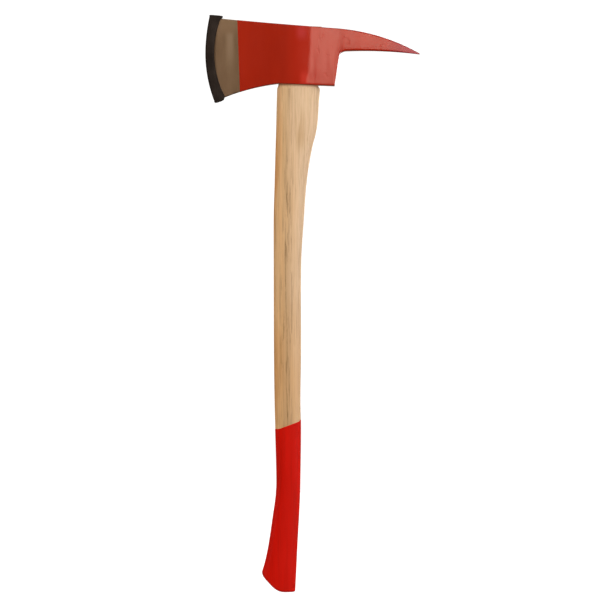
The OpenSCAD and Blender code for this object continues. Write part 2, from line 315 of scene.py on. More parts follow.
# Half the head's thickness at distances from the eye: it swells to a soft crease beside the eye.
HALF_TABLE = [(-125, 2.5), (-97, 4.8), (-62, 8.6), (-32, 12.3), (-8, 14.95), (5, 15.95), (13, 16.35),
              (16, 16.4), (20, 16.1), (26, 15.7), (38, 14.95), (58, 13.5), (76, 11.3), (110, 8.1),
              (150, 4.8), (178, 2.2), (190, 0.8)]
EDGE_HALF = 0.4
BEVEL_END = 0.08         # the cutting bevel ends at this place, as thick as the blade is at BEVEL_X
BEVEL_X = -126.5
CROWN = 0.05             # a cheek's middle stands out by this share of the half thickness
CREASE_X = 16
CREASE_REACH = 20
CREASE_SWAY = 1.6
CREASE_BEND = 3          # how far the crease bends forwards, from BEND_TOP_Z down
BEND_TOP_Z = 22
BEND_HEIGHT = 16

# How the rims are rounded at places along the head.
UNDER_RADII = [(0, 1.2), (0.9, 1.6), (1.1, 1.3), (1.9, 1.3), (2.1, 2), (3, 2.4), (4, 2.6), (5, 2)]
OVER_RADII = [(0, 1), (1, 1.4), (4, 2), (5, 2.6)]
RIM_ROWS = 7
CHEEK_ROWS = 44
RIM_REACH = 2.5          # painted rim shade and wear fade over this distance from the head's rims

# Points across half the underside or the top, as shares. The end loops are drawn shut instead.
FLAT_SHARES = np.array([0, 0.3, 0.6, 0.85])

FORGING = 0.85           # the hammer's unevenness, at its deepest
FINE_FROM_X = 8          # its fine part sets in over FINE_REACH from here
FINE_REACH = 20
GROUND_REACH = 50        # behind the paint line, the grinding fades out over this distance


def half_thickness(bottoms, tops, place):
    """Half the head's thickness at each column."""
    where = np.where(place < 1, (bottoms[:, 0] + tops[:, 0]) / 2, tops[:, 0])
    bevel_half = mix(EDGE_HALF, float(curve(HALF_TABLE, BEVEL_X)), np.clip(place / BEVEL_END, 0, 1))
    return np.where(place < BEVEL_END, bevel_half, curve(HALF_TABLE, where))


def section(length, half, radius_low, radius_high, flat_shares):
    """Half a column's section, from the middle of the underside, up a cheek, to the middle of the top:
    shares of the length, half widths, and closeness to the rims."""
    turn = np.linspace(0, math.pi / 2, RIM_ROWS)
    low = np.stack([radius_low * (1 - np.cos(turn)), radius_low * np.sin(turn) - radius_low], -1)
    high = np.stack([length - radius_high * (1 - np.cos(turn)), radius_high * np.sin(turn) - radius_high], -1)
    side = np.linspace(radius_low, length - radius_high, CHEEK_ROWS)[1:-1]
    rise = np.concatenate([low[:, 0], side, high[::-1, 0]])
    drop = np.concatenate([low[:, 1], np.zeros(len(side)), high[::-1, 1]])
    width = half * (1 - CROWN * (2 * rise / length - 1)**2) + drop
    under, over = flat_shares * width[0], (flat_shares * width[-1])[::-1]
    rim = np.concatenate([np.exp((under - width[0]) / RIM_REACH),
                          np.exp(-np.minimum(rise, length - rise) / RIM_REACH),
                          np.exp((over - width[-1]) / RIM_REACH)])
    rise = np.concatenate([np.zeros(len(under)), rise, np.full(len(over), length)])
    return rise / length, np.concatenate([under, width, over]), rim


def crease_waver(points):
    """How much thicker or thinner the head is at points of a column, because the crease isn't quite
    straight: it sways a little, and bends forwards near the underside."""
    x, z = points[:, 0], points[:, 1]
    near = np.exp(-((x - CREASE_X) / CREASE_REACH)**2)
    low = np.clip((BEND_TOP_Z - z) / BEND_HEIGHT, 0, 1)
    sway = CREASE_SWAY * ripple(z[:, None] * [0, 0, 1], 17, 4) + CREASE_BEND * low**2 * (3 - 2 * low)
    return curve(HALF_TABLE, x + sway * near) / curve(HALF_TABLE, x)


def head_loops(distance):
    """Loops round the head, with every surface moved out by a distance, and each point's rim value."""
    bottoms, tops, place = head_columns()
    count = len(place)
    outline = grown(np.concatenate([bottoms, tops[::-1]]), distance)
    bottoms, tops = outline[:count], outline[count:][::-1]
    halves = half_thickness(bottoms, tops, place)
    radii_low, radii_high = (np.interp(place, *zip(*table)) for table in (UNDER_RADII, OVER_RADII))
    loops, rims = [], []
    for j in range(count):
        low, high, half = bottoms[j], tops[j], halves[j]
        length = np.linalg.norm(high - low)
        most = min(0.45 * half, 0.3 * length)        # a rim's rounding has to fit a thin column
        flat_shares = FLAT_SHARES if 0 < place[j] < 5 else np.zeros(len(FLAT_SHARES))
        share, width, rim = section(length, half, min(radii_low[j], most), min(radii_high[j], most),
                                    flat_shares)
        flat = mix(low[None], high[None], share[:, None])
        # The columns near the edge bend forwards, to its arc.
        z = mix(HEEL[1], TOE[1], share)
        bulge = max(0, 1 - place[j])**2 * (edge_x(z) - mix(HEEL[0], TOE[0], share))
        width = width * crease_waver(flat) + distance * np.clip(width / 0.3, 0, 1)
        front = np.stack([flat[:, 0] + bulge, -width, flat[:, 1]], -1)
        loops.append(np.concatenate([front, (front * [1, -1, 1])[::-1]]))
        rims.append(np.concatenate([rim, rim[::-1]]))
    shut = np.array([1, 0, 1])
    loops = [loops[0] * shut, *loops, loops[-1] * shut]
    rims = [rims[0], *rims, rims[-1]]
    return np.array(loops), np.array(rims)


def forged(loops):
    """The hammer's soft unevenness: the cheeks are drawn in by up to FORGING, and the ground blade less."""
    points = loops.reshape(-1, 3).copy()
    x, y = points[:, 0], points[:, 1]
    stretched = points * [1, 1, 0.5]
    fine = 0.2 * np.clip((x - FINE_FROM_X) / FINE_REACH, 0.1, 1)
    depth = 0.4 + 0.4 * ripple(stretched, 24, 1) + fine * ripple(stretched, 9, 2)
    unground = np.clip((x - PAINT_X) / GROUND_REACH, 0.12, 1)
    deep = FORGING * unground * np.clip(np.abs(y) / 8, 0, 1) * np.clip(depth, 0, 1)
    points[:, 1] -= np.sign(y) * deep
    return points.reshape(loops.shape)


# ---- head: eye and enamel ---------------------------------------------------------------

EYE_LENGTH = 64
EYE_WIDTH = 22
EYE_FLARE = 2.4
FLARE_START = 45
OVAL_POWER = 2.5
TOP_AT_EYE = float(top_z(0))
CUT_BELOW = 8            # cutters reach past the head by these distances
CUT_ABOVE = 12

PAINT_LEAN = math.radians(4.4)
PAINT_X = -97
PAINT_WAVER = 0.12
COAT_SHARE = 0.8         # the visible coat is thinner than the gap round the steel, so that they don't touch


def oval():
    """Cosines of the turns of a squared oval's points, and the points' own two coordinates."""
    turn = 2 * math.pi * np.arange(SIDES) / SIDES
    c, s = np.cos(turn), np.sin(turn)
    power = 2 / OVAL_POWER
    return c, np.sign(c) * np.abs(c)**power, np.sign(s) * np.abs(s)**power


def eye_ring(z, grow=0):
    """A ring of the eye's wall, which flares towards the top, moved outwards."""
    flare = EYE_FLARE / 2 * max(0, z - FLARE_START) / (TOP_AT_EYE - FLARE_START)
    _, c, s = oval()
    return np.stack([(EYE_LENGTH / 2 + flare + grow) * c, (EYE_WIDTH / 2 + flare + grow) * s,
                     np.full(SIDES, float(z))], -1)


def eye_cutter(grow=0):
    """A solid that fills the eye and reaches past both its ends."""
    rings = [eye_ring(z, grow) for z in (-CUT_BELOW, FLARE_START, TOP_AT_EYE + CUT_ABOVE)]
    return loop_mesh("eye_cutter", hang(np.array(rings)))


def make_steel_head():
    """The whole forging, with the eye right through it."""
    loops, rims = head_loops(0)
    piece = loop_mesh("axe_head_steel", hang(forged(loops)), rims, lids=False)
    carve(piece, [eye_cutter()])
    smooth(piece, 40)
    return piece


def cut_at_paint_line(mesh):
    """Takes away the mesh in front of the paint line, and makes the line waver a little."""
    point = hang(np.array([[PAINT_X, 0, RIDGE_Z / 2]]))[0]
    normal = HANG_TURN @ np.array([math.cos(PAINT_LEAN), 0, math.sin(PAINT_LEAN)])
    work = bmesh.new()
    work.from_mesh(mesh)
    bmesh.ops.bisect_plane(work, geom=work.verts[:] + work.edges[:] + work.faces[:], dist=1e-7,
                           plane_co=point, plane_no=normal, clear_inner=True)
    for vert in work.verts:
        if vert.is_boundary:
            vert.co.x += PAINT_WAVER * MM * noise.noise(vert.co / (7 * MM))
    work.to_mesh(mesh)
    work.free()


def make_enamel():
    """The red coat: the head's skin beyond the paint line, as a closed shell."""
    loops, rims = head_loops(ENAMEL)
    piece = loop_mesh("head_enamel_coat", hang(forged(loops)), rims, lids=False)
    cut_at_paint_line(piece.data)
    shell = piece.modifiers.new("coat", "SOLIDIFY")
    shell.thickness = COAT_SHARE * ENAMEL * MM
    shell.offset = -1
    apply_modifiers(piece)
    carve(piece, [eye_cutter()])
    smooth(piece, 40)
    return piece


# ---- handle and its dip -----------------------------------------------------------------

SHAFT = 24
# Rows: distance below the head, front edge, back edge, thickness, share that the back is thinner by.
HANDLE_TABLE = [
    (8, -34.0, 34.3, SHAFT + 0.4, 0.02), (34, -34.8, 32.4, SHAFT + 1.4, 0.05),
    (62, -35.4, 30.5, SHAFT + 1.8, 0.08), (80, -35.8, 27.2, SHAFT + 1.8, 0.09),
    (95, -36.3, 23.1, SHAFT + 1.6, 0.09), (120, -37, 18.2, SHAFT + 1.2, 0.08),
    (160, -38.1, 12.7, SHAFT + 0.8, 0.06), (210, -39.4, 9, SHAFT + 0.4, 0.05),
    (280, -39.4, 4.6, SHAFT, 0.05), (430, -39, 4.1, SHAFT, 0.05), (500, -38.1, 3.2, SHAFT, 0.05),
    (545, -37, 3.9, SHAFT, 0.05), (630, -35, 2.8, SHAFT, 0.05), (655, -36.5, 2.2, SHAFT + 0.2, 0.05),
    (680, -40, 1.1, SHAFT + 0.8, 0.05), (730, -47.4, -1.7, SHAFT + 2, 0.04),
    (757, -53, -3, SHAFT + 3, 0.03), (776, -58.6, -3.9, SHAFT + 3.6, 0.03),
    (815, -69, -5.9, SHAFT + 4, 0.03)]
SHAFT_TOP = 8            # the table holds from SHAFT_TOP to SHAFT_END below the head
SHAFT_END = 800
SHOULDER_Z = -6.6        # the shoulder's last full section
SHAFT_MIDDLE = -17
SHAVING = 0.12           # the shave's unevenness, at its deepest

KNOB_Z = -766            # the knob's end is drawn as a fan from the handle's middle at this height
KNOB_STEPS = 70
KNOB_REACH = 70.0        # longer than any ray of the fan
TOE_START_X = -33
TOE_STEEP = 1.03
HEEL_REACH = 9           # rounding between the flat end and the slanted toe
TOE_CORNER = 6           # rounding of the end's rim, up to TOE_CORNER_X and past END_CORNER_X
END_CORNER = 2.2
TOE_CORNER_X = -60
END_CORNER_X = -42

DIP_SLOPE = math.radians(20)
DIP_LINE_Z = -541.2
DIP_LENGTH = 225         # from the dip line down to KNOB_Z
DIP_GAP = 0.02           # the coat's inner skin lies this far outside the wood
DIP_STEPS = [0, 0.2, 0.5, 0.9, 1.4, 2, 2.7, 3.6, 5]


def handle_section(z, grow):
    """Front edge, back edge, half thickness and the back's thinning, at heights z."""
    front, back, thickness, egg = (curve(HANDLE_TABLE, -z, column) for column in (1, 2, 3, 4))
    return front - grow, back + grow, thickness / 2 + grow, egg


def shaft_points(z, grow):
    """Points of the shaft's skin, one for each side, at heights z that may differ from side to side."""
    front, back, half, egg = handle_section(z, grow)
    turn, c, s = oval()
    return np.stack([(front + back) / 2 + (back - front) / 2 * c, half * (1 - egg * turn) * s, z], -1)


def knob_distance(points, grow):
    """Signed distance, roughly, from the skin of the knob, with its corners rounded."""
    x, y, z = points[..., 0], points[..., 1], points[..., 2]
    front, back, half, egg = handle_section(z, grow)
    across = (x - (front + back) / 2) / ((back - front) / 2)
    turn = np.sign(across) * np.abs(across)**(OVAL_POWER / 2)
    through = y / (half * (1 - egg * np.clip(turn, -1, 1)))
    wall = ((np.abs(across)**OVAL_POWER + np.abs(through)**OVAL_POWER)**(1 / OVAL_POWER) - 1) * half
    floor = BUTT_Z + DIP - grow
    flat = floor - z
    toe = (floor + (TOE_START_X - x) * TOE_STEEP - z) / math.hypot(1, TOE_STEEP)
    corner = mix(TOE_CORNER, END_CORNER, np.clip((x - TOE_CORNER_X) / (END_CORNER_X - TOE_CORNER_X), 0, 1))
    return smooth_max(wall, smooth_max(flat, toe, HEEL_REACH), corner)


def knob_rings(grow):
    """Rings from the handle's full section at KNOB_Z down to the middle of its end."""
    rim = shaft_points(np.full(SIDES, float(KNOB_Z)), grow)
    middle = np.array([rim[:, 0].mean(), 0, KNOB_Z])
    outwards = rim - middle
    outwards /= np.linalg.norm(outwards, axis=1, keepdims=True)
    rings = []
    for tilt in np.linspace(0, math.pi / 2, KNOB_STEPS)[1:]:
        ray = outwards * math.cos(tilt) - np.array([0, 0, math.sin(tilt)])
        near, far_off = np.zeros(SIDES), np.full(SIDES, KNOB_REACH)
        for _ in range(40):
            half_way = (near + far_off) / 2
            inside = knob_distance(middle + ray * half_way[:, None], grow) < 0
            near, far_off = np.where(inside, half_way, near), np.where(inside, far_off, half_way)
        rings.append(middle + ray * near[:, None])
    return rings


def shaved(rings):
    """The shave's soft unevenness along the handle: points are drawn in towards its middle line."""
    points = np.concatenate(rings)
    deep = SHAVING * (0.5 + 0.5 * ripple(points * [1, 1, 0.2], 16, 3))
    below = np.clip(-points[:, 2], SHAFT_TOP, SHAFT_END)
    inwards = -points[:, :2]
    inwards[:, 0] += curve(HANDLE_TABLE, below, 1) / 2 + curve(HANDLE_TABLE, below, 2) / 2
    size = np.linalg.norm(inwards, axis=1, keepdims=True)
    points[:, :2] += inwards / np.maximum(size, 1) * deep[:, None]
    return points.reshape(len(rings), -1, 3)


def dip_line_z(x):
    """Height of the dip line, which climbs towards the back and curls up at both ends."""
    curl = 2.2 * np.clip((x + 2) / 6, 0, 1)**2 + 1.8 * np.clip((-28 - x) / 8, 0, 1)**2
    return DIP_LINE_Z + (x - SHAFT_MIDDLE) * math.tan(DIP_SLOPE) + curl


def coat_growth(below):
    """How far the coat's skin lies outside the wood, at a distance below the dip line, where it ends
    in a bead."""
    bead = 0.14 * math.exp(-((below - 1.6) / 0.9)**2)
    return DIP_GAP + (DIP - DIP_GAP) * (1 - math.exp(-below / 0.5)) + bead


def dip_rings(growth):
    """Rings from the dip line down to the knob. The growth is a function of the distance below the line."""
    line = np.full(SIDES, DIP_LINE_Z)
    for _ in range(4):
        line = dip_line_z(shaft_points(line, 0)[:, 0])
    shares = np.concatenate([np.array(DIP_STEPS) / DIP_LENGTH, np.linspace(0.03, 1, 80)])
    return [shaft_points(mix(line, float(KNOB_Z), s), float(growth(s * DIP_LENGTH))) for s in shares]


def make_dip():
    """The red dip coat: a closed shell with a rounded bead along its top edge."""
    outside = dip_rings(coat_growth) + knob_rings(DIP)
    inside = dip_rings(lambda below: DIP_GAP) + knob_rings(DIP_GAP)
    piece = loop_mesh("grip_dip_coat", shaved(inside[::-1] + outside) * MM)
    smooth(piece, 40)
    return piece


# ---- wedges, and the handle's tenon that they spread --------------------------------------

WEDGE_PROUD = 0.35       # the wedges stand out of the eye by this
TOOL_PROUD = 4           # and the tools that cut their slots by this
KERF_TOP = 5.4
KERF_POINT = 1.2
KERF_DEPTH = 62
STEEL_WEDGE_WIDTH = 20
STEEL_WEDGE_TOP = 3.4
STEEL_WEDGE_POINT = 0.8
STEEL_WEDGE_DEPTH = 26
STEEL_WEDGE_X = 15
STEEL_WEDGE_TURN = math.radians(45)
STEEL_WEDGE_SLIM = 0.1   # the steel wedges are slimmer than their slots by this
NECK_LOW = -2.6          # the tenon meets the shoulder here


def wedge_tool(name, length, thickness, point, depth, top, turn=0, x=0):
    """A wedge standing point down, its long side along X before it turns, with its top at a height."""
    corners = [(e * length / 2, s * w / 2, z) for z, w in ((top - depth, point), (top, thickness))
               for e, s in ((-1, -1), (1, -1), (1, 1), (-1, 1))]
    turned = np.array(corners) @ np.array(Matrix.Rotation(turn, 3, "Z")).T + [x, 0, 0]
    return loop_mesh(name, hang(turned.reshape(2, 4, 3)))


def kerf_tool(name="kerf_tool", proud=TOOL_PROUD):
    """The wooden wedge's shape, standing out of the head by a distance."""
    top = mix(KERF_POINT, KERF_TOP, 1 + proud / KERF_DEPTH)
    return wedge_tool(name, EYE_LENGTH + 10, top, KERF_POINT, KERF_DEPTH + proud, TOP_AT_EYE + proud)


def steel_tool(side, name="steel_tool", proud=TOOL_PROUD, slim=0.0):
    """A steel wedge's shape, in the front or the back of the eye, for side -1 or 1."""
    top = mix(STEEL_WEDGE_POINT, STEEL_WEDGE_TOP, 1 + proud / STEEL_WEDGE_DEPTH)
    return wedge_tool(name, STEEL_WEDGE_WIDTH - slim, top - slim, STEEL_WEDGE_POINT - slim,
                      STEEL_WEDGE_DEPTH + proud, TOP_AT_EYE + proud, side * STEEL_WEDGE_TURN,
                      side * STEEL_WEDGE_X)


def flush_top(ring, proud):
    """A ring of the eye moved to the head's top, which falls towards the pick."""
    reach = EYE_LENGTH / 2
    fall = (float(top_z(reach)) - float(top_z(-reach))) / (2 * reach)
    ring = ring.copy()
    ring[:, 2] = TOP_AT_EYE + fall * ring[:, 0] + proud
    return ring


def make_handle():
    """The whole handle: knob, shaft, and a tenon that fills the eye, with its kerf and two slots."""
    heights = np.concatenate([np.linspace(KNOB_Z, -10, 200), [-SHAFT_TOP, SHOULDER_Z]])
    shaft = [shaft_points(np.full(SIDES, float(z)), 0) for z in heights]
    body = shaved(knob_rings(0)[::-1] + shaft)
    neck = hang(np.array([eye_ring(NECK_LOW, -0.1), eye_ring(0), eye_ring(FLARE_START),
                          eye_ring(TOP_AT_EYE - 4), flush_top(eye_ring(TOP_AT_EYE), 0.1)]))
    piece = loop_mesh("handle_wood", np.concatenate([body * MM, neck]))
    carve(piece, [kerf_tool(), steel_tool(-1), steel_tool(1)])
    smooth(piece, 35)
    return piece


def make_kerf_wedge():
    """The wooden wedge, trimmed to the eye and cut by the two steel wedges."""
    piece = kerf_tool("kerf_wedge_wood", WEDGE_PROUD)
    carve(piece, [eye_cutter(-0.02)], "INTERSECT")
    carve(piece, [steel_tool(-1), steel_tool(1)])
    smooth(piece, 30)
    return piece


def make_steel_wedge(side, name):
    piece = steel_tool(side, name, WEDGE_PROUD, STEEL_WEDGE_SLIM)
    bevel(piece, 0.3)
    smooth(piece, 30)
    return piece


# ---- edge guard ---------------------------------------------------------------------------

GUARD_NOSE = 5           # the guard reaches this far in front of the edge, and GUARD_COVER behind it
GUARD_COVER = 9
GUARD_TOE_EXTRA = 1.6    # the nose is thicker by this towards the toe
GUARD_BACK_RADIUS = 145
GUARD_BACK_Z = 50
GUARD_GAP = 0.35
GUARD_RIM = 1.2
GUARD_NOSE_RIM = 2.8
SEAM = 0.12              # the moulding seam stands out by this


def arc_points(centre_x, centre_z, radius, z1, z2):
    """Points of an arc in front of its centre, from height z1 to z2."""
    z = np.linspace(z1, z2, 64)
    return np.stack([centre_x - np.sqrt(radius**2 - (z - centre_z)**2), z], -1)


def soften(outline):
    """A closed outline with its corners cut."""
    after = np.roll(outline, -1, 0)
    return np.stack([0.75 * outline + 0.25 * after, 0.25 * outline + 0.75 * after], 1).reshape(-1, 2)


def guard_outline():
    """Side view of the guard: a crescent along the edge, with square ends past the heel and the toe."""
    nose = arc_points(EDGE_X + EDGE_RADIUS, EDGE_CENTRE_Z, EDGE_RADIUS + GUARD_NOSE,
                      TOE_Z - 0.3, HEEL_Z - 0.5)
    towards_toe = np.clip((nose[:, 1] - EDGE_CENTRE_Z) / (TOE_Z - EDGE_CENTRE_Z), 0, 1)
    nose[:, 0] -= GUARD_TOE_EXTRA * towards_toe**2
    back = arc_points(EDGE_X + GUARD_COVER + GUARD_BACK_RADIUS, GUARD_BACK_Z, GUARD_BACK_RADIUS,
                      HEEL_Z + 8, TOE_Z - 3.2)
    low_end = HEEL + [(-5.2, -2.4), (-2.4, -3.8), (9.4, 1), (10.8, 4)]
    high_end = TOE + [(14.8, 0.2), (14, 2.2), (-6, GUARD_TOP), (-7, 2)]
    return soften(np.concatenate([nose, low_end, back, high_end]))


def guard_loops():
    """Loops from the guard's front face, over its rounded rims, to its back face."""
    outline = guard_outline()
    inwards = outline[:, 0] - edge_x(outline[:, 1])
    from_ends = np.minimum(outline[:, 1] - HEEL_Z, TOE_Z - outline[:, 1])
    share = np.clip(-inwards / GUARD_NOSE, 0, 1) * np.clip(from_ends / 12, 0, 1)
    rim = mix(GUARD_RIM, GUARD_NOSE_RIM, share)[:, None]
    front = []
    for turn in np.linspace(math.pi / 2, 0, 7):
        moved = grown(outline, -rim * (1 - math.cos(turn)))
        front.append(np.stack([moved[:, 0], -GUARD_HALF + rim[:, 0] * (1 - math.sin(turn)), moved[:, 1]], -1))
    for ring, y in ((outline, -0.35), (grown(outline, SEAM), -0.1)):
        front.append(np.stack([ring[:, 0], np.full(len(ring), y), ring[:, 1]], -1))
    return np.array(front + [ring * [1, -1, 1] for ring in front[::-1]])


def blade_room():
    """The slot that the blade fits, open to the guard's back."""
    # Distances behind the edge, and half the blade's thickness there.
    reach = [(-GUARD_GAP, EDGE_HALF), (8, 2.5), (34, 4.4)]
    loops = []
    for z in np.linspace(HEEL_Z - GUARD_GAP, TOE_Z + GUARD_GAP, 60):
        front = np.array([(edge_x(z) + inwards, -half - GUARD_GAP, z) for inwards, half in reach])
        loops.append(np.concatenate([front, (front * [1, -1, 1])[::-1]]))
    return loop_mesh("blade_room", hang(np.array(loops)))


def make_guard():
    """The rubber guard, with the slot for the blade cut out of it."""
    piece = loop_mesh("edge_guard_rubber", hang(guard_loops()))
    carve(piece, [blade_room()])
    smooth(piece, 40)
    return piece


# ---- materials ----------------------------------------------------------------------------

class Paint:
    """A material built from a few kinds of node. Numbers and colours go straight on sockets."""

    def __init__(self, name, **shader):
        self.material = bpy.data.materials.new(name)
        self.material.use_nodes = True
        self.nodes = self.material.node_tree.nodes
        self.links = self.material.node_tree.links
        self.shader = self.nodes["Principled BSDF"]
        for socket, value in shader.items():
            self.shader.inputs[socket.replace("_", " ")].default_value = value
        self.place = self.add("ShaderNodeTexCoord").outputs["Object"]

    def add(self, kind, inputs=(), **settings):
        node = self.nodes.new(kind)
        for key, value in settings.items():
            setattr(node, key, value)
        for key, value in dict(inputs).items():
            if isinstance(value, bpy.types.NodeSocket):
                self.links.new(value, node.inputs[key])
            else:
                node.inputs[key].default_value = value
        return node

    def vector(self, operation, *values):
        inputs = dict(enumerate(values))
        return self.add("ShaderNodeVectorMath", inputs, operation=operation).outputs

    def noise_node(self, scale, detail, roughness=0.55, place=None):
        """A noise texture. The scale is one number, or one for each axis, in cells per metre."""
        place = place or self.place
        if not np.isscalar(scale):
            place, scale = self.vector("MULTIPLY", place, scale)["Vector"], 1
        return self.add("ShaderNodeTexNoise", {"Vector": place, "Scale": scale, "Detail": detail,
                                               "Roughness": roughness})

    def noise(self, scale, detail=3, roughness=0.55, place=None):
        """Noise from 0 to 1."""
        return self.noise_node(scale, detail, roughness, place).outputs["Fac"]

    def math(self, operation, *values):
        return self.add("ShaderNodeMath", dict(enumerate(values)), operation=operation).outputs[0]

    def times(self, a, b):
        return self.math("MULTIPLY", a, b)

    def band(self, value, low, high, out_low=0.0, out_high=1.0):
        """The value's share of the way from low to high, as a number from out_low to out_high."""
        return self.add("ShaderNodeMapRange", {0: value, 1: low, 2: high, 3: out_low, 4: out_high},
                        interpolation_type="SMOOTHSTEP").outputs[0]

    def ramp(self, value, *stops):
        node = self.add("ShaderNodeValToRGB", {0: value})
        steps = node.color_ramp.elements
        while len(steps) < len(stops):
            steps.new(0.5)
        for step, (place, colour) in zip(steps, stops):
            step.position = place
            step.color = (*colour, 1)
        return node.outputs[0]

    def blend(self, share, under, colour):
        """A colour laid over what is under it, where the share is 1."""
        return self.add("ShaderNodeMix", {0: share, 6: under, 7: (*colour, 1)}, data_type="RGBA").outputs[2]

    def attribute(self, name):
        return self.add("ShaderNodeAttribute", attribute_name=name).outputs["Fac"]

    def axis(self, name, place=None):
        return self.add("ShaderNodeSeparateXYZ", {0: place or self.place}).outputs[name]

    def patch(self, *spans):
        """A soft patch: 1 in its middle, and 0 past each span's half width from its centre."""
        shares = []
        for value, centre, half in spans:
            far_off = self.math("ABSOLUTE", self.math("SUBTRACT", value, centre))
            shares.append(self.band(far_off, half, 0.1 * half))
        return shares[0] if len(shares) == 1 else self.times(*shares)

    def growth_rings(self, place, pith, spacing):
        """Saw teeth from 0 to 1 outwards from an upright line, the pith."""
        centred = self.vector("SUBTRACT", place, (*pith, 0))["Vector"]
        level = self.vector("MULTIPLY", centred, (1, 1, 0))["Vector"]
        return self.math("FRACT", self.math("DIVIDE", self.vector("LENGTH", level)["Value"], spacing))

    def bump(self, height, depth, strength=1.0, under=None):
        """A bump of a depth in mm."""
        inputs = {"Height": height, "Distance": depth * MM, "Strength": strength}
        if under is not None:
            inputs["Normal"] = under
        return self.add("ShaderNodeBump", inputs).outputs[0]

    def finish(self, **sockets):
        for socket, value in sockets.items():
            self.links.new(value, self.shader.inputs[socket.replace("_", " ")])
        return self.material


def enamel_colour(p, x, z):
    """Red with painted light round the crease, painted reflections as two pink patches by it and a pinker
    tip, painted shade along the rims, and wear chips along them.
    """
    rim = p.attribute("rim")
    colour = p.ramp(p.noise((30, 30, 7), 3), (0.35, (0.290, 0.0095, 0.0004)), (0.65, (0.325, 0.0115, 0.0008)))
    # painted light: brighter red round the crease, where the light falls on it
    colour = p.blend(p.patch((x, 0.008, 0.036)), colour, (0.355, 0.0105, 0.0004))
    # painted reflections: two pink patches by the crease, one low and one high
    colour = p.blend(p.patch((x, 0.009, 0.010), (z, 0.008, 0.019)), colour, (0.47, 0.022, 0.011))
    colour = p.blend(p.patch((x, 0.005, 0.013), (z, 0.082, 0.017)), colour, (0.40, 0.023, 0.020))
    # painted reflection: the pick's tip turns darker and pinker
    colour = p.blend(p.band(x, 0.130, 0.185, 0, 0.9), colour, (0.24, 0.016, 0.038))
    # painted shade: darker red along the rims; the chips below are wear
    colour = p.blend(p.band(rim, 0.5, 0.95, 0, 0.65), colour, (0.15, 0.010, 0.005))
    chips = p.band(p.times(rim, p.noise(310, 6, 0.7)), 0.66, 0.70, 0, 0.8)
    return p.blend(chips, colour, (0.10, 0.07, 0.05))


def enamel_material():
    """Gloss red enamel over forged steel, with soft dents and a few small dings behind the crease."""
    p = Paint("red_enamel", Specular_IOR_Level=0.13, Coat_Weight=0.22, Coat_Roughness=0.18)
    x, z = p.axis("X"), p.axis("Z")
    # The roughness stays below 0.27, past which the denoiser treats the paint differently, in patches.
    rough = p.band(p.noise(60, 4, 0.6), 0.25, 0.8, 0.20, 0.26)
    dents = p.times(p.noise((48, 48, 20), 1, 0.4), p.band(x, 0.006, 0.030))
    dings = p.times(p.band(p.noise((110, 110, 70), 2), 0.60, 0.70, 0, -1), p.band(x, 0.012, 0.024))
    bump = p.bump(p.noise(420, 2), 0.02, 0.4)
    bump = p.bump(dents, 1.1, 1.0, bump)
    bump = p.bump(dings, 0.25, 1.0, bump)
    return p.finish(Base_Color=enamel_colour(p, x, z), Roughness=rough, Normal=bump)


def dip_material():
    """Red dip coat on wood: semi-gloss, with the grain just showing through it."""
    p = Paint("red_dip", Specular_IOR_Level=0.05)
    grain = p.noise((520, 520, 9), 4, 0.6)
    runs = p.noise((90, 90, 7), 4)
    colour = p.ramp(runs, (0.35, (0.51, 0.0058, 0.0018)), (0.65, (0.58, 0.0062, 0.0020)))
    colour = p.blend(p.band(grain, 0.5, 0.8, 0, 0.35), colour, (0.30, 0.006, 0.002))
    scuffs = p.band(p.noise((330, 330, 24), 5, 0.7), 0.68, 0.80, 0, 0.4)
    colour = p.blend(scuffs, colour, (0.55, 0.06, 0.035))
    rough = p.band(p.noise(45, 5, 0.6), 0.3, 0.75, 0.34, 0.5)
    bump = p.bump(grain, 0.05, 0.6)
    bump = p.bump(p.noise((60, 60, 14), 3), 0.3, 0.3, bump)
    return p.finish(Base_Color=colour, Roughness=rough, Normal=bump)


def ash_tones(p, place, across, height):
    """The wood's tones: painted shade as a brown front edge, pale behind, and darker and more orange lower
    down.
    """
    tone = p.math("ADD", across, p.band(p.noise((70, 70, 5), 3, 0.6, place), 0.3, 0.7, -0.007, 0.007))
    # the ramp's brown first stop is painted shade on the front edge, the side away from the key light
    colour = p.ramp(p.band(tone, -0.036, 0.014), (0.0, (0.56, 0.27, 0.085)), (0.15, (0.68, 0.428, 0.210)),
                    (0.5, (0.57, 0.385, 0.208)), (0.75, (0.62, 0.435, 0.265)), (1.0, (0.60, 0.435, 0.28)))
    colour = p.blend(p.band(height, -0.075, -0.020, 0, 0.35), colour, (0.60, 0.44, 0.27))
    # darker and more orange lower down the shaft
    colour = p.blend(p.band(height, -0.30, -0.48, 0, 0.4), colour, (0.60, 0.33, 0.13))
    # a darker brown patch on the swell below the head
    dark_swell_patch = p.times(p.patch((across, 0.010, 0.011), (height, -0.072, 0.045)),
                    p.band(p.noise((160, 160, 12), 3, 0.5), 0.28, 0.55))
    return p.blend(p.times(dark_swell_patch, 0.65), colour, (0.38, 0.23, 0.085))


